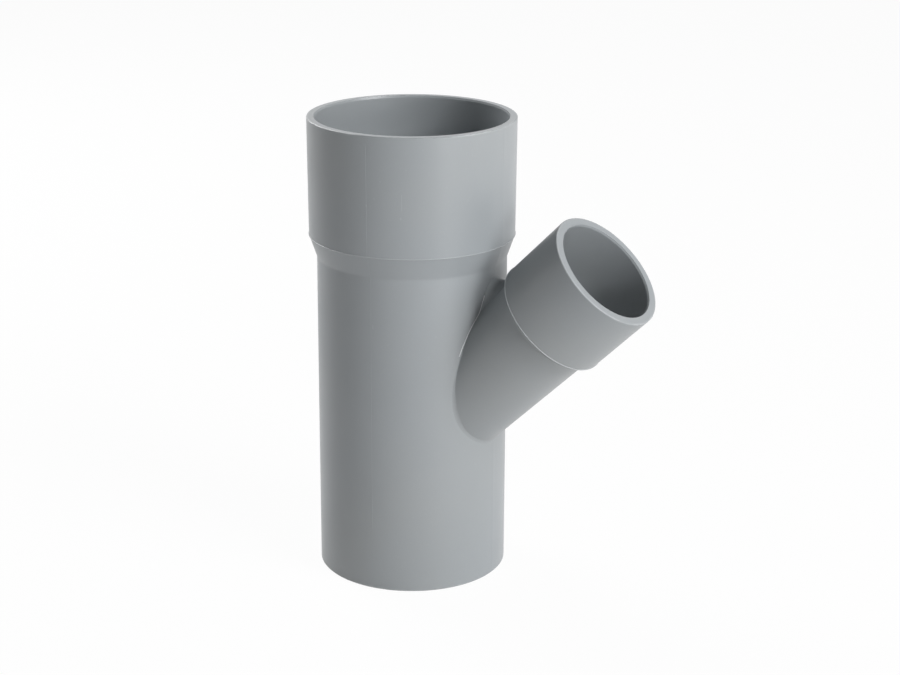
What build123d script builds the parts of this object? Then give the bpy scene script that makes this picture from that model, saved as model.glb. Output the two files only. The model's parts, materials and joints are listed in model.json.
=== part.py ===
from build123d import *
import math
import os

# A lateral wye for solvent-welded waste pipe, moulded in one piece.
# It stands on the plain end of its run. The run's axis is Z, and the branch leans towards +X.

# Pipes that the fitting joins
run_pipe_diameter = 90.0
branch_pipe_diameter = 50.0
branch_angle = 45.0

# Walls and the stops that the pipes push against
body_wall = 3.6
neck_wall = 3.2
run_socket_wall = 3.7
branch_socket_wall = 4.2
run_stop_width = 3.0

# Sockets, and the drafts in degrees that let the moulding leave its mould
socket_clearance = 0.3
run_socket_depth = 51.0
branch_socket_depth = 31.0
run_stop_cover = 4.8
branch_stop_cover = 5.5
run_shoulder_length = 10.5
branch_shoulder_length = 2.7
socket_draft = 0.4
body_draft = 0.1
neck_draft = 1.0

# Straight lengths between the forms
spigot_length = 66.6
heel_gap = 2.7
crotch_gap = 14.1
neck_length = 15.7

# Edges
rim_round = 0.5
lead_in_width = 0.35
lead_in_length = 1.0
run_shoulder_blend = 4.0
branch_shoulder_blend = 1.6
spigot_chamfer = 0.6

# Blend where the neck meets the body, as its reach along each of the two walls.
# It is wide in the crotch, nearly sharp on the upper flanks and soft again round the heel.
# The angles are measured round the neck from its upper side
crotch_blend = 14.0
crotch_body_share = 0.66
crotch_flatness = 0.6
flank_blend = 0.3
heel_blend = 1.3
heel_flatness = 0.0
flank_angle = 30.0
heel_blend_angle = 100.0
blend_root = 1.0
blend_seat = 0.03
blend_sections = 10
junction_tries = 20

# Radii that follow from the pipes and the walls. The body is as wide as its pipe at the spigot
run_radius = run_pipe_diameter / 2
run_bore_radius = run_radius - body_wall
run_socket_radius = (run_pipe_diameter + socket_clearance) / 2
run_mouth_radius = run_socket_radius + run_socket_wall
branch_socket_radius = (branch_pipe_diameter + socket_clearance) / 2
branch_mouth_radius = branch_socket_radius + branch_socket_wall

# The neck is as wide as its pipe where its axis leaves the body, at this distance from the run's axis
lean = math.radians(branch_angle)
axis_exit = run_radius / math.sin(lean)
neck_exit_radius = branch_pipe_diameter / 2
neck_bore_radius = neck_exit_radius - neck_wall
neck_slope = math.tan(math.radians(neck_draft))
socket_slope = math.tan(math.radians(socket_draft))
body_slope = math.tan(math.radians(body_draft))


def neck_radius(reach):
    return neck_exit_radius + (reach - axis_exit) * neck_slope


def body_radius(height):
    return run_radius - (height - spigot_length) * body_slope


# The neck meets the body at its heel, low down, and at its crotch, high up
heel_reach = (run_radius - neck_radius(0) * math.cos(lean)) / (math.sin(lean) + neck_slope * math.cos(lean))
crotch_reach = (run_radius + neck_radius(0) * math.cos(lean)) / (math.sin(lean) - neck_slope * math.cos(lean))
heel_height = spigot_length + heel_gap
crossing_height = heel_height - heel_reach * math.cos(lean) + neck_radius(heel_reach) * math.sin(lean)
crotch_height = crossing_height + crotch_reach * math.cos(lean) + neck_radius(crotch_reach) * math.sin(lean)

# Heights up the run
run_shoulder_start = crotch_height + crotch_gap
run_socket_edge = run_shoulder_start + run_shoulder_length
run_stop_height = run_socket_edge + run_stop_cover
overall_height = run_stop_height + run_socket_depth
run_edge_radius = run_mouth_radius - (overall_height - run_socket_edge) * socket_slope

# Distances along the branch from the point where the axes cross
branch_shoulder_start = crotch_reach + neck_length
branch_socket_edge = branch_shoulder_start + branch_shoulder_length
branch_stop_reach = branch_socket_edge + branch_stop_cover
branch_reach = branch_stop_reach + branch_socket_depth
branch_edge_radius = branch_mouth_radius - (branch_reach - branch_socket_edge) * socket_slope

# The branch is turned in a plane whose Y lies on its axis
crossing = Vector(0, 0, crossing_height)
branch_direction = Vector(math.sin(lean), 0, math.cos(lean))
branch_upper_side = Vector(-math.cos(lean), 0, math.sin(lean))
branch_plane = Plane(
    origin=crossing,
    x_dir=(math.cos(lean), 0, -math.sin(lean)),
    z_dir=(0, -1, 0),
)
branch_axis = Axis(crossing, branch_direction)


def on_neck(point):
    # the point moved to just under the neck's wall
    reach = (point - crossing).dot(branch_direction)
    foot = crossing + branch_direction * reach
    return foot + (point - foot).normalized() * (neck_radius(reach) - blend_seat)


def on_body(point):
    # the point moved to just under the body's wall
    foot = Vector(0, 0, point.Z)
    return foot + (point - foot).normalized() * (body_radius(point.Z) - blend_seat)


def junction_point(angle):
    # where the neck's side at this angle from its upper side meets the body
    side = branch_upper_side * math.cos(angle) + Vector(0, math.sin(angle), 0)
    reach = axis_exit
    for attempt in range(junction_tries):
        point = crossing + branch_direction * reach + side * neck_radius(reach)
        missing = body_radius(point.Z) - math.hypot(point.X, point.Y)
        reach += missing * body_radius(point.Z) / (point.X * math.sin(lean))
    return point, side


def blend_section(angle, blend, body_share, flatness):
    # plane across the junction, and the blend's profile in it
    point, neck_normal = junction_point(angle)
    body_normal = Vector(point.X, point.Y, 0).normalized()
    along = neck_normal.cross(body_normal).normalized()
    up_neck = along.cross(neck_normal).normalized()
    up_neck = up_neck * math.copysign(1, up_neck.dot(body_normal))
    up_body = along.cross(body_normal).normalized()
    up_body = up_body * math.copysign(1, up_body.dot(neck_normal))
    opening = up_neck.get_angle(up_body) / 2
    middle = (up_neck + up_body).normalized()
    round_share = 1 / (1 + math.sin(math.radians(opening)))
    chord_depth = 2 * blend * body_share * math.cos(math.radians(opening)) / (1 + body_share)
    crest = point + middle * chord_depth * (round_share + (1 - round_share) * flatness)
    plane = Plane(origin=point, x_dir=up_neck, z_dir=along)
    neck_end = on_neck(point + up_neck * blend)
    body_end = on_body(point + up_body * blend * body_share)
    corners = [neck_end, crest, body_end, point - middle * blend_root]
    return plane, [((c - point).dot(plane.x_dir), (c - point).dot(plane.y_dir)) for c in corners]


def blend_profile(angle, blend, body_share, flatness):
    # closed profile of the blend across the junction at one angle
    plane, (neck_end, crest, body_end, root) = blend_section(math.radians(angle), blend, body_share, flatness)
    with BuildSketch(plane) as profile:
        with BuildLine():
            ThreePointArc(neck_end, crest, body_end)
            Polyline(body_end, root, neck_end)
        make_face()
    return profile.sketch


def blend_angles(first, last):
    return [first + (last - first) * count / blend_sections for count in range(blend_sections + 1)]


def crotch_blend_at(angle):
    share = math.cos(math.radians(90 * angle / flank_angle)) ** 2
    return flank_blend + (crotch_blend - flank_blend) * share


def heel_blend_at(angle):
    from_flank = min(angle, 360 - angle) - flank_angle
    share = min(1, from_flank / (heel_blend_angle - flank_angle))
    return flank_blend + (heel_blend - flank_blend) * share


with BuildPart() as wye_fitting:
    # Run from the spigot's end to the socket's mouth
    with BuildSketch(Plane.XZ):
        with BuildLine():
            FilletPolyline(
                (0, 0),
                (run_radius - spigot_chamfer, 0),
                (run_radius, spigot_chamfer),
                (run_radius, spigot_length),
                (body_radius(run_shoulder_start), run_shoulder_start),
                (run_edge_radius, run_socket_edge),
                (run_mouth_radius, overall_height),
                (0, overall_height),
                radius=[0, 0, 0, run_shoulder_blend, 0, rim_round],
            )
            Line((0, overall_height), (0, 0))
        make_face()
    revolve(axis=Axis.Z)

    # Branch from the crossing of the axes to its mouth
    with BuildSketch(branch_plane):
        with BuildLine():
            FilletPolyline(
                (0, 0),
                (neck_radius(0), 0),
                (neck_radius(branch_shoulder_start), branch_shoulder_start),
                (branch_edge_radius, branch_socket_edge),
                (branch_mouth_radius, branch_reach),
                (0, branch_reach),
                radius=[0, branch_shoulder_blend, 0, rim_round],
            )
            Line((0, branch_reach), (0, 0))
        make_face()
    revolve(axis=branch_axis)

    # Blend round the line where the neck enters the body: the heel with both flanks, then the crotch
    loft([blend_profile(a, heel_blend_at(a), 1, heel_flatness) for a in blend_angles(flank_angle, 360 - flank_angle)])
    loft([
        blend_profile(a, crotch_blend_at(a), crotch_body_share, crotch_flatness)
        for a in blend_angles(-flank_angle, flank_angle)
    ])

    # Way through the run, with its stop and its socket
    with BuildSketch(Plane.XZ):
        with BuildLine():
            Polyline(
                (0, 0),
                (run_bore_radius, 0),
                (run_bore_radius, run_shoulder_start),
                (run_socket_radius - run_stop_width, run_stop_height),
                (run_socket_radius, run_stop_height),
                (run_socket_radius, overall_height - lead_in_length),
                (run_socket_radius + lead_in_width, overall_height),
                (0, overall_height),
                close=True,
            )
        make_face()
    revolve(axis=Axis.Z, mode=Mode.SUBTRACT)

    # Way out through the branch, with its stop and its socket
    with BuildSketch(branch_plane):
        with BuildLine():
            Polyline(
                (0, 0),
                (neck_bore_radius, 0),
                (neck_bore_radius, branch_stop_reach),
                (branch_socket_radius, branch_stop_reach),
                (branch_socket_radius, branch_reach - lead_in_length),
                (branch_socket_radius + lead_in_width, branch_reach),
                (0, branch_reach),
                close=True,
            )
        make_face()
    revolve(axis=branch_axis, mode=Mode.SUBTRACT)

wye_fitting.part.label = "wye_fitting"
os.makedirs("parts", exist_ok=True)
export_step(wye_fitting.part, "parts/wye_fitting.step")
print("height", round(overall_height, 2), "crossing", round(crossing_height, 2))
print("branch reach", round(branch_reach, 2), "stops", round(run_stop_height, 2), round(branch_stop_reach, 2))
print("heel and crotch", round(heel_height, 2), round(crotch_height, 2), "volume", round(wye_fitting.part.volume))
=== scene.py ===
import bpy
import json
import math
from mathutils import Matrix, Vector


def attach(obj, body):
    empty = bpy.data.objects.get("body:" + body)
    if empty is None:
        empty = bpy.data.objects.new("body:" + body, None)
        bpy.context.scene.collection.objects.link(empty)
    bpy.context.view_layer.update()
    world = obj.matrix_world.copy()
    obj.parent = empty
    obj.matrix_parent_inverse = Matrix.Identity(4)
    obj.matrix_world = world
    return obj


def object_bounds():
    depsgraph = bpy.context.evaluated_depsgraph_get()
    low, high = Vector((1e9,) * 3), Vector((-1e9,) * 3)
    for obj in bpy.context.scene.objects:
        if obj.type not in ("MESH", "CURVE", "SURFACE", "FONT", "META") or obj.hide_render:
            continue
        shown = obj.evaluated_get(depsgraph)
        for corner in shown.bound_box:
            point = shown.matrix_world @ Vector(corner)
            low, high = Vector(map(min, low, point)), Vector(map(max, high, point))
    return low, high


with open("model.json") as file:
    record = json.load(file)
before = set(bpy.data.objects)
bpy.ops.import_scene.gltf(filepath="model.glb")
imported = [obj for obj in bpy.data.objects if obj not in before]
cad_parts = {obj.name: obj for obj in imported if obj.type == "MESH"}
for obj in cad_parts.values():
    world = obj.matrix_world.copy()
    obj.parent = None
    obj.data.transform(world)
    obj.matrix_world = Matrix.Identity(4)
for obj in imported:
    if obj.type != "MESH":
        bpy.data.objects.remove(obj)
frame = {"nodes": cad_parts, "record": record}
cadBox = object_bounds()
scene = bpy.context.scene
scene.view_settings.view_transform = "Standard"
fitting = frame["nodes"]["wye_fitting"]
print("frame loaded", len(fitting.data.polygons), "faces")


# the fitting's main lines, read from its mounts, in metres
def mountNamed(name):
    return next(mount for mount in frame["record"]["mounts"] if mount["name"] == name)


def mountEnds(name):
    mount = mountNamed(name)
    centre = Vector(mount["pos_m"])
    halfLength = mount["dims"]["length_mm"] / 2000
    reach = Vector(mount["axis"]) * halfLength
    return centre - reach, centre + reach


branchStop, branchMouth = mountEnds("branch_socket")
branchAxis = Vector(mountNamed("branch_socket")["axis"]).normalized()
branchSide = Vector((-branchAxis.z, 0, branchAxis.x))  # square to the branch, on its upper side
crossing = Vector((0, 0, branchStop.z - branchStop.x))  # the branch leans at 45 degrees
runAxis = Vector((0, 0, 1))
runRadius = mountNamed("spigot")["dims"]["r_mm"] / 1000


# small helpers for node trees
def addNode(tree, kind, spot, **settings):
    node = tree.nodes.new(kind)
    node.location = spot
    for name, value in settings.items():
        setattr(node, name, value)
    return node


def setInputs(node, **values):
    for name, value in values.items():
        node.inputs[name.replace("_", " ")].default_value = value


def mapRange(tree, spot, source, fromRange, toRange):
    node = addNode(tree, "ShaderNodeMapRange", spot)
    setInputs(node, From_Min=fromRange[0], From_Max=fromRange[1], To_Min=toRange[0], To_Max=toRange[1])
    tree.links.new(source, node.inputs["Value"])
    return node.outputs["Result"]


def combine(tree, spot, operation, first, second):
    node = addNode(tree, "ShaderNodeMath", spot, operation=operation)
    for socket, value in zip(node.inputs, (first, second)):
        if isinstance(value, (int, float)):
            socket.default_value = value
        else:
            tree.links.new(value, socket)
    return node.outputs[0]


def vectorMath(tree, spot, operation, first, second):
    node = addNode(tree, "ShaderNodeVectorMath", spot, operation=operation)
    tree.links.new(first, node.inputs[0])
    if isinstance(second, tuple):
        node.inputs[1].default_value = second
    elif second:
        tree.links.new(second, node.inputs[1])
    return node


def noise(tree, spot, vector, plan):
    node = addNode(tree, "ShaderNodeTexNoise", spot)
    setInputs(node, Scale=plan["scale"], Detail=plan["detail"])
    tree.links.new(vector, node.inputs["Vector"])
    return node.outputs["Fac"]


def mixColour(tree, spot, amount, first, second):
    node = addNode(tree, "ShaderNodeMix", spot, data_type="RGBA")
    for socket, value in ((node.inputs[0], amount), (node.inputs[6], first), (node.inputs[7], second)):
        if isinstance(value, (tuple, float)):
            socket.default_value = value
        else:
            tree.links.new(value, socket)
    return node.outputs[2]


def bump(tree, spot, height, distance, under):
    node = addNode(tree, "ShaderNodeBump", spot)
    setInputs(node, Strength=1.0, Distance=distance)
    tree.links.new(height, node.inputs["Height"])
    if under:
        tree.links.new(under, node.inputs["Normal"])
    return node.outputs[0]


# grey moulded pipe plastic: metres for heights, linear colour
pvcFinish = {
    "grey": (0.330, 0.352, 0.368, 1),
    "warmGrey": (0.338, 0.352, 0.355, 1),
    "deepGrey": (0.306, 0.330, 0.347, 1),
    "scuffGrey": (0.52, 0.54, 0.55, 1),
    # pale grey painted onto the flash beads to stand in for a highlight line
    "paintedHighlightGrey": (0.76, 0.78, 0.79, 1),
    "roughness": (0.31, 0.41),
    "clouds": {"scale": 16.0, "detail": 3, "from": (0.35, 0.65), "share": (0, 0.55), "glossFrom": (0.3, 0.7)},
    "tint": {"scale": 9.0, "detail": 1, "from": (0.4, 0.6), "share": (0, 0.7)},
    "specks": {"scale": 900.0, "detail": 2, "from": (0.62, 0.75), "share": (0, 0.06)},
    "waves": {"scale": 24.0, "detail": 1, "height": 0.00018},
    "drawMarks": {"scale": 260.0, "detail": 2, "stretch": (1, 1, 0.02)},
    "grain": {"scale": 1500.0, "detail": 2, "height": 0.000006},
}

# scuffs on the run: bearing in degrees, height of each end and half width
runScuffs = {
    "pipLow": {"bearing": -83.7, "from": 0.1883, "to": 0.1888, "halfWidth": 0.0004},
    "pipSide": {"bearing": -79.1, "from": 0.1920, "to": 0.1922, "halfWidth": 0.0004},
    "pipTop": {"bearing": -75.7, "from": 0.2000, "to": 0.2003, "halfWidth": 0.0003},
    "scratch": {"bearing": -64.2, "from": 0.1872, "to": 0.1946, "halfWidth": 0.0002},
    "scratchEnd": {"bearing": -64.7, "from": 0.1834, "to": 0.1838, "halfWidth": 0.0005},
    "tick": {"bearing": -82.4, "from": 0.1300, "to": 0.1316, "halfWidth": 0.0003},
}
scuffFinish = {"core": 0.3, "depth": (0.0012, 0.0008), "share": 0.25, "dulling": 0.3}

# wear on the edges that are handled: how wide it is, how patchy, and how far inside each edge its ring lies
wear = {
    "width": 0.0009,
    "core": 0.35,
    "patches": {"scale": 160, "detail": 2, "from": (0.35, 0.6), "share": (0.05, 0.3)},
    "runInset": 0.0002,
    "pastBranchMount": 0.001,
    "branchRadius": 0.02915,
    "spigotInset": 0.0003,
}
branchMouthReach = (branchMouth - crossing).length + wear["pastBranchMount"]

# centre, direction and radius of each worn edge
wornEdges = {
    "runMouth": (runAxis * cadBox[1][2], runAxis, cadBox[1][1] - wear["runInset"]),
    "branchMouth": (crossing + branchAxis * branchMouthReach, branchAxis, wear["branchRadius"]),
    "spigotEnd": (runAxis * wear["spigotInset"], runAxis, runRadius - wear["spigotInset"]),
}


def makeRingGroup():
    # how near a point is to a ring, 1 on the ring and 0 at the width
    group = bpy.data.node_groups.new("nearRing", "ShaderNodeTree")
    for name in ("Position", "Centre", "Direction"):
        group.interface.new_socket(name, in_out="INPUT", socket_type="NodeSocketVector")
    for name in ("Radius", "Width"):
        group.interface.new_socket(name, in_out="INPUT", socket_type="NodeSocketFloat")
    group.interface.new_socket("Mask", in_out="OUTPUT", socket_type="NodeSocketFloat")
    given = addNode(group, "NodeGroupInput", (-600, 0)).outputs
    out = addNode(group, "NodeGroupOutput", (600, 0))
    offset = vectorMath(group, (-400, 0), "SUBTRACT", given["Position"], given["Centre"]).outputs[0]
    along = vectorMath(group, (-250, 100), "DOT_PRODUCT", offset, given["Direction"]).outputs["Value"]
    across = vectorMath(group, (-250, -100), "CROSS_PRODUCT", offset, given["Direction"]).outputs[0]
    fromAxis = vectorMath(group, (-100, -100), "LENGTH", across, None).outputs["Value"]
    beside = combine(group, (50, -100), "SUBTRACT", fromAxis, given["Radius"])
    besideSquare = combine(group, (200, -100), "MULTIPLY", beside, beside)
    alongSquare = combine(group, (50, 100), "MULTIPLY", along, along)
    square = combine(group, (280, 0), "ADD", besideSquare, alongSquare)
    distance = combine(group, (350, 0), "SQRT", square, 0)
    share = combine(group, (450, 0), "DIVIDE", distance, given["Width"])
    group.links.new(mapRange(group, (520, 0), share, (wear["core"], 1), (1, 0)), out.inputs["Mask"])
    return group


def runMark(tree, spot, position, scuff):
    # an upright streak on the outside of the run, 1 in its middle
    turn = math.radians(scuff["bearing"])
    halfWidth = scuff["halfWidth"]
    lowFade = (scuff["from"] - halfWidth, scuff["from"])
    highFade = (scuff["to"], scuff["to"] + halfWidth)
    depths = [runRadius - depth for depth in scuffFinish["depth"]]
    left, top = spot
    sideways = (-math.sin(turn), math.cos(turn), 0)
    forward = (math.cos(turn), math.sin(turn), 0)
    side = vectorMath(tree, spot, "DOT_PRODUCT", position, sideways).outputs["Value"]
    front = vectorMath(tree, (left, top - 60), "DOT_PRODUCT", position, forward).outputs["Value"]
    split = addNode(tree, "ShaderNodeSeparateXYZ", (left, top - 120))
    tree.links.new(position, split.inputs[0])
    above = mapRange(tree, (left + 160, top - 120), split.outputs["Z"], lowFade, (0, 1))
    below = mapRange(tree, (left + 160, top - 180), split.outputs["Z"], highFade, (1, 0))
    near = combine(tree, (left + 160, top), "ABSOLUTE", side, 0)
    across = mapRange(tree, (left + 320, top), near, (halfWidth * scuffFinish["core"], halfWidth), (1, 0))
    outside = mapRange(tree, (left + 160, top - 60), front, depths, (0, 1))
    ends = combine(tree, (left + 480, top - 120), "MULTIPLY", above, below)
    faced = combine(tree, (left + 480, top), "MULTIPLY", across, outside)
    return combine(tree, (left + 640, top), "MULTIPLY", ends, faced)


def strongest(tree, spot, masks):
    # the greatest of several masks
    result = masks[0]
    for count, mask in enumerate(masks[1:], 1):
        result = combine(tree, (spot[0], spot[1] - 200 * count), "MAXIMUM", result, mask)
    return result


def wornMasks(tree, position):
    ringGroup = bpy.data.node_groups.get("nearRing") or makeRingGroup()
    masks = []
    for count, (centre, direction, radius) in enumerate(wornEdges.values()):
        ring = addNode(tree, "ShaderNodeGroup", (-1300, -300 - 200 * count), node_tree=ringGroup)
        setInputs(ring, Centre=centre, Direction=direction, Radius=radius, Width=wear["width"])
        tree.links.new(position, ring.inputs["Position"])
        masks.append(ring.outputs["Mask"])
    return masks


def makePvc(name, pale=0.0):
    material = bpy.data.materials.new(name)
    material.use_nodes = True
    tree = material.node_tree
    shader = tree.nodes["Principled BSDF"]
    shader.location = (1500, 0)
    tree.nodes["Material Output"].location = (1800, 0)
    position = addNode(tree, "ShaderNodeTexCoord", (-1800, 0)).outputs["Object"]

    # slow clouds and a slight change of tint, as in any moulded grey
    plan = pvcFinish["tint"]
    tint = noise(tree, (-1500, 100), position, plan)
    tintShare = mapRange(tree, (-1300, 100), tint, plan["from"], plan["share"])
    plan = pvcFinish["clouds"]
    clouds = noise(tree, (-1500, 300), position, plan)
    cloudShare = mapRange(tree, (-1300, 300), clouds, plan["from"], plan["share"])
    ground = mixColour(tree, (-1100, 200), tintShare, pvcFinish["grey"], pvcFinish["warmGrey"])
    clouded = mixColour(tree, (-900, 200), cloudShare, ground, pvcFinish["deepGrey"])

    # fine pale specks
    plan = pvcFinish["specks"]
    specks = noise(tree, (-1500, -100), position, plan)
    speckShare = mapRange(tree, (-1300, -100), specks, plan["from"], plan["share"])
    specked = mixColour(tree, (-700, 200), speckShare, clouded, pvcFinish["scuffGrey"])

    # worn edges, in patches
    plan = wear["patches"]
    patches = noise(tree, (-1300, 0), position, plan)
    patchy = mapRange(tree, (-1100, 0), patches, plan["from"], plan["share"])
    worn = strongest(tree, (-1100, -300), wornMasks(tree, position))
    wornShare = combine(tree, (-900, -300), "MULTIPLY", worn, patchy)
    edged = mixColour(tree, (-500, 200), wornShare, specked, pvcFinish["scuffGrey"])

    # small scuffs
    spots = [(-1500, -1100 - 260 * count) for count in range(len(runScuffs))]
    scuffs = [runMark(tree, spot, position, scuff) for spot, scuff in zip(spots, runScuffs.values())]
    scuffed = strongest(tree, (-600, -1100), scuffs)
    scuffShare = combine(tree, (-400, -300), "MULTIPLY", scuffed, scuffFinish["share"])
    marked = mixColour(tree, (-300, 200), scuffShare, edged, pvcFinish["scuffGrey"])
    # painted highlight: with pale set, the colour is pushed toward a pale grey so the bead reads as a bright
    # line of light
    if pale:
        marked = mixColour(tree, (-100, 200), pale, marked, pvcFinish["paintedHighlightGrey"])
    tree.links.new(marked, shader.inputs["Base Color"])

    # gloss swings with the clouds and dulls where it is scuffed
    gloss = mapRange(tree, (-900, 500), clouds, pvcFinish["clouds"]["glossFrom"], pvcFinish["roughness"])
    dulling = combine(tree, (-450, 450), "MULTIPLY", scuffShare, scuffFinish["dulling"])
    tree.links.new(combine(tree, (-300, 500), "ADD", gloss, dulling), shader.inputs["Roughness"])

    # slow waves of the wall, fine grain and draw marks along the run
    waves = noise(tree, (-300, -500), position, pvcFinish["waves"])
    wavy = bump(tree, (0, -500), waves, pvcFinish["waves"]["height"], None)
    stretched = addNode(tree, "ShaderNodeMapping", (-500, -700))
    setInputs(stretched, Scale=pvcFinish["drawMarks"]["stretch"])
    tree.links.new(position, stretched.inputs["Vector"])
    drawMarks = noise(tree, (-300, -700), stretched.outputs[0], pvcFinish["drawMarks"])
    grain = noise(tree, (-300, -900), position, pvcFinish["grain"])
    fine = combine(tree, (-100, -800), "ADD", drawMarks, grain)
    grained = bump(tree, (200, -600), fine, pvcFinish["grain"]["height"], wavy)
    tree.links.new(grained, shader.inputs["Normal"])
    return material


pvc = makePvc("greyPvc")
# flash bead plastic lightened a little: a painted highlight along the sockets' lower edges
edgePaintedHighlightPvc = makePvc("flashPaintedHighlightPvc", pale=0.2)
# near-white plastic for the flank beads: a painted highlight line in the crease's shade
flankPaintedHighlightPvc = makePvc("flankPaintedHighlightPvc", pale=0.95)
for slot in fitting.material_slots:
    slot.material = pvc
print("plastic on the fitting")

# thin beads of flash that the mould left: on both sockets' lower edges and up the junction's flanks. Their
# paler colour is painted highlight, near white on the flank beads that lie in the crease's shade
flashBeads = {
    "bead": 0.00022,
    "sides": 10,
    "runEdge": {"radius": 0.04846, "height": 0.16463, "points": 240},
    "branchEdge": {"radius": 0.029095, "reach": 0.10748, "points": 180},
    "flanks": {"from": 15, "to": 61, "points": 60, "tip": 0.2},
}

# the faint upright line where the mould's halves met, at the front of the run
partingLine = {
    "bearing": -83.8,
    "low": 0.03,
    "high": 0.2165,
    "points": 240,
    "sink": 0.00016,
    "start": 0.1,
}

# how the neck enters the body: its radius and draft, and the reach of the blend up the body's wall
junctionPlan = {
    "neckRadius": 0.025,
    "neckDraft": 1.0,
    "tries": 20,
    "crotchReach": 0.00924,
    "flankReach": 0.0003,
    "heelReach": 0.0013,
    "flankAngle": 30,
    "heelAngle": 100,
}


def makeBeadTree():
    # sweeps a small round bead along the object's own path
    tree = bpy.data.node_groups.new("flashBead", "GeometryNodeTree")
    for name, kind in (("Path", "Geometry"), ("Bead", "Float"), ("Finish", "Material")):
        tree.interface.new_socket(name, in_out="INPUT", socket_type="NodeSocket" + kind)
    tree.interface.new_socket("Geometry", in_out="OUTPUT", socket_type="NodeSocketGeometry")
    given = addNode(tree, "NodeGroupInput", (-600, 0))
    out = addNode(tree, "NodeGroupOutput", (600, 0))
    section = addNode(tree, "GeometryNodeCurvePrimitiveCircle", (-400, -200))
    setInputs(section, Resolution=flashBeads["sides"])
    sweep = addNode(tree, "GeometryNodeCurveToMesh", (-200, 0))
    setInputs(sweep, Fill_Caps=True)
    smooth = addNode(tree, "GeometryNodeSetShadeSmooth", (0, 0))
    finish = addNode(tree, "GeometryNodeSetMaterial", (200, 0))
    real = addNode(tree, "GeometryNodeRealizeInstances", (400, 0))
    tree.links.new(given.outputs["Bead"], section.inputs["Radius"])
    tree.links.new(given.outputs["Path"], sweep.inputs["Curve"])
    tree.links.new(section.outputs[0], sweep.inputs["Profile Curve"])
    tree.links.new(given.outputs["Finish"], finish.inputs["Material"])
    for before, after in ((sweep, smooth), (smooth, finish), (finish, real), (real, out)):
        tree.links.new(before.outputs[0], after.inputs[0])
    return tree


def makeBead(name, points, widths, closed, finish):
    path = bpy.data.curves.new(name + "Path", "CURVE")
    path.dimensions = "3D"
    spline = path.splines.new("POLY")
    spline.points.add(len(points) - 1)
    for point, place, width in zip(spline.points, points, widths):
        point.co = (*place, 1)
        point.radius = width
    spline.use_cyclic_u = closed
    guide = bpy.data.objects.new(name + "Guide", path)
    scene.collection.objects.link(guide)
    sweeper = guide.modifiers.new("sweep", "NODES")
    sweeper.node_group = beadTree
    values = {"Bead": flashBeads["bead"], "Finish": finish}
    for item in beadTree.interface.items_tree:
        if item.in_out == "INPUT" and item.name in values:
            sweeper[item.identifier] = values[item.name]
    ready = guide.evaluated_get(bpy.context.evaluated_depsgraph_get())
    mesh = bpy.data.meshes.new_from_object(ready)
    bpy.data.objects.remove(guide)
    bead = bpy.data.objects.new(name, mesh)
    scene.collection.objects.link(bead)
    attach(bead, "root")


def makeRingBead(name, centre, firstSide, secondSide, plan):
    turns = [2 * math.pi * step / plan["points"] for step in range(plan["points"])]
    spokes = [firstSide * math.cos(turn) + secondSide * math.sin(turn) for turn in turns]
    route = [centre + spoke * plan["radius"] for spoke in spokes]
    # the ring bead wears the lightened plastic, a painted highlight line
    makeBead(name, route, [1] * len(route), True, edgePaintedHighlightPvc)


def neckSide(degrees):
    angle = math.radians(degrees)
    return branchSide * math.cos(angle) + Vector((0, math.sin(angle), 0))


def junctionPoint(degrees):
    # where the neck's side at this angle from its top meets the body
    axisExit = runRadius / branchAxis.x
    widening = math.tan(math.radians(junctionPlan["neckDraft"]))
    reach = axisExit
    for attempt in range(junctionPlan["tries"]):
        radius = junctionPlan["neckRadius"] + (reach - axisExit) * widening
        point = crossing + branchAxis * reach + neckSide(degrees) * radius
        reach += (runRadius - math.hypot(point.x, point.y)) * runRadius / (point.x * branchAxis.x)
    return point


def blendReach(degrees):
    # how far the blend climbs the body's wall: wide in the crotch, narrow on the flanks
    plan = junctionPlan
    away = abs(degrees)
    if away < plan["flankAngle"]:
        share = math.cos(math.radians(90 * away / plan["flankAngle"])) ** 2
        return plan["flankReach"] + (plan["crotchReach"] - plan["flankReach"]) * share
    share = min(1, (away - plan["flankAngle"]) / (plan["heelAngle"] - plan["flankAngle"]))
    return plan["flankReach"] + (plan["heelReach"] - plan["flankReach"]) * share


def creasePoint(degrees):
    # the blend's edge on the body's wall, laid on the fitting's own mesh
    point = junctionPoint(degrees)
    along = (junctionPoint(degrees + 1) - junctionPoint(degrees - 1)).normalized()
    outward = Vector((point.x, point.y, 0)).normalized()
    climb = along.cross(outward).normalized()
    climb *= math.copysign(1, climb.dot(neckSide(degrees)))
    spot = fitting.matrix_world.inverted() @ (point + climb * blendReach(degrees))
    near = fitting.closest_point_on_mesh(spot, depsgraph=bpy.context.evaluated_depsgraph_get())[1]
    return fitting.matrix_world @ near


def makeFlankBead(name, hand):
    plan = flashBeads["flanks"]
    steps = [step / (plan["points"] - 1) for step in range(plan["points"])]
    route = [creasePoint(hand * (plan["from"] + (plan["to"] - plan["from"]) * step)) for step in steps]
    widths = [plan["tip"] + (1 - plan["tip"]) * math.sin(math.pi * step) ** 0.5 for step in steps]
    # the flank bead is coloured near white, a painted highlight along the junction's crease
    makeBead(name, route, widths, False, flankPaintedHighlightPvc)


def wallPoint(bearing, height):
    # a point just under the run's outer wall, found on the fitting's own mesh
    turn = math.radians(bearing)
    outward = Vector((math.cos(turn), math.sin(turn), 0))
    toLocal = fitting.matrix_world.inverted()
    start = toLocal @ (outward * partingLine["start"] + runAxis * height)
    heading = toLocal.to_3x3() @ -outward
    spot = fitting.ray_cast(start, heading, depsgraph=bpy.context.evaluated_depsgraph_get())[1]
    return fitting.matrix_world @ spot - outward * partingLine["sink"]


def makePartingLine():
    plan = partingLine
    rise = (plan["high"] - plan["low"]) / (plan["points"] - 1)
    heights = [plan["low"] + rise * step for step in range(plan["points"])]
    route = [wallPoint(plan["bearing"], height) for height in heights]
    makeBead("runPartingLine", route, [1] * len(route), False, pvc)


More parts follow.
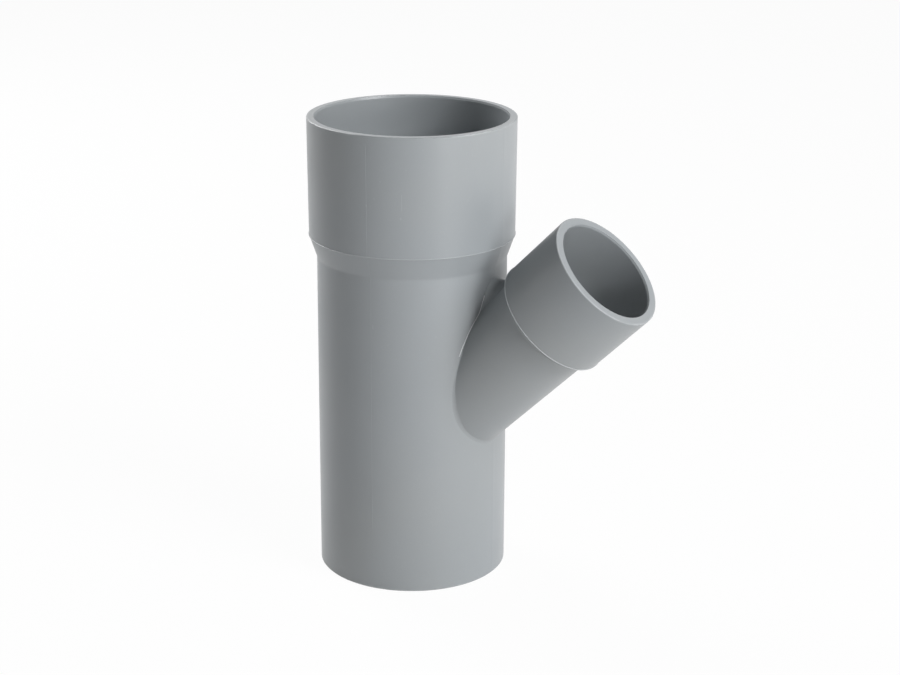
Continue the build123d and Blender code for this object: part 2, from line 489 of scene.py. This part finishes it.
beadTree = makeBeadTree()
sideAxis = Vector((0, 1, 0))
runEdge = flashBeads["runEdge"]
branchEdge = flashBeads["branchEdge"]
makeRingBead("runEdgeFlashAndHighlight", runAxis * runEdge["height"], Vector((1, 0, 0)), sideAxis, runEdge)
makeRingBead("branchEdgeFlashAndHighlight", crossing + branchAxis * branchEdge["reach"], branchSide, sideAxis, branchEdge)
makeFlankBead("nearFlankFlashAndHighlight", -1)
makeFlankBead("farFlankFlashAndHighlight", 1)
makePartingLine()
print("flash beads laid")


# white sweep: plain to light, white to the camera and in the gloss
sweepFinish = {
    "size": 24.0,
    "pale": (0.86, 0.86, 0.86, 1),
    "whiteShare": 0.96,
    "white": (1, 1, 1, 1),
    "whiteLevel": 1.0,
    "fillLevel": 0.0,
}


def startSweep(tree, outKind, offKind, onKind):
    # an empty tree that shows its second shader to the camera and in the gloss
    tree.nodes.clear()
    out = addNode(tree, outKind, (600, 0))
    blend = addNode(tree, "ShaderNodeMixShader", (400, 0))
    path = addNode(tree, "ShaderNodeLightPath", (-200, 300))
    seen = combine(tree, (0, 200), "MAXIMUM", path.outputs["Is Camera Ray"], path.outputs["Is Glossy Ray"])
    off = addNode(tree, offKind, (200, 0))
    on = addNode(tree, onKind, (200, -150))
    tree.links.new(off.outputs[0], blend.inputs[1])
    tree.links.new(on.outputs[0], blend.inputs[2])
    tree.links.new(blend.outputs[0], out.inputs[0])
    return seen, blend.inputs[0], off, on


def makeSweep():
    bpy.ops.mesh.primitive_plane_add(size=sweepFinish["size"])
    floor = bpy.context.object
    floor.name = "studioFloor"
    material = bpy.data.materials.new("paleFloor")
    material.use_nodes = True
    tree = material.node_tree
    seen, amount, paint, glow = startSweep(
        tree, "ShaderNodeOutputMaterial", "ShaderNodeBsdfDiffuse", "ShaderNodeEmission")
    setInputs(paint, Color=sweepFinish["pale"])
    setInputs(glow, Color=sweepFinish["white"], Strength=sweepFinish["whiteLevel"])
    tree.links.new(combine(tree, (200, 200), "MULTIPLY", seen, sweepFinish["whiteShare"]), amount)
    floor.data.materials.append(material)


def makeWorld():
    world = bpy.data.worlds.new("studio")
    scene.world = world
    world.use_nodes = True
    seen, amount, fill, white = startSweep(
        world.node_tree, "ShaderNodeOutputWorld", "ShaderNodeBackground", "ShaderNodeBackground")
    setInputs(fill, Color=sweepFinish["white"], Strength=sweepFinish["fillLevel"])
    setInputs(white, Color=sweepFinish["white"], Strength=sweepFinish["whiteLevel"])
    world.node_tree.links.new(seen, amount)


makeSweep()
makeWorld()

# soft lamps: bearing round the run in degrees from +X, height angle, distance and size
studioLamps = {
    "keyHigh": {"bearing": -8, "height": 35, "distance": 1.5, "size": 0.8, "watts": 19.2},
    "keyLow": {"bearing": -23, "height": 5, "distance": 1.5, "size": 0.35, "watts": 5.2},
    "backLeft": {"bearing": -198, "height": 35, "distance": 1.5, "size": 0.8, "watts": 14.4},
    "sideLeft": {"bearing": -158, "height": 35, "distance": 1.5, "size": 1.6, "watts": 1.9},
}
lampTarget = Vector((0.03, 0, 0.11))


def makeLamp(name, plan):
    light = bpy.data.lights.new(name, "AREA")
    light.shape = "DISK"
    light.size = plan["size"]
    light.energy = plan["watts"]
    lamp = bpy.data.objects.new(name, light)
    scene.collection.objects.link(lamp)
    bearing = math.radians(plan["bearing"])
    height = math.radians(plan["height"])
    level = math.cos(height)
    away = Vector((level * math.cos(bearing), level * math.sin(bearing), math.sin(height)))
    lamp.location = lampTarget + away * plan["distance"]
    lamp.rotation_euler = (-away).to_track_quat("-Z", "Y").to_euler()


for name, plan in studioLamps.items():
    makeLamp(name, plan)
print("studio lit")

# camera where the photograph was taken from: angles in degrees, lens and sensor in millimetres
photoCamera = {
    "place": (0.4836, -0.7951, 0.4180),
    "bearing": 30.20,
    "down": 18.19,
    "roll": 0.253,
    "lens": 81.89,
    "sensor": 36,
}


def makeCamera():
    data = bpy.data.cameras.new("photoCamera")
    data.lens = photoCamera["lens"]
    data.sensor_width = photoCamera["sensor"]
    camera = bpy.data.objects.new("photoCamera", data)
    scene.collection.objects.link(camera)
    turn, down, roll = (math.radians(photoCamera[angle]) for angle in ("bearing", "down", "roll"))
    ahead = Vector((-math.sin(turn) * math.cos(down), math.cos(turn) * math.cos(down), -math.sin(down)))
    side = Vector((math.cos(turn), math.sin(turn), 0))
    above = side.cross(ahead)
    right = side * math.cos(roll) + above * math.sin(roll)
    up = above * math.cos(roll) - side * math.sin(roll)
    facing = Matrix((right, up, -ahead)).transposed().to_4x4()
    camera.matrix_world = Matrix.Translation(photoCamera["place"]) @ facing
    scene.camera = camera


makeCamera()
print("camera placed")
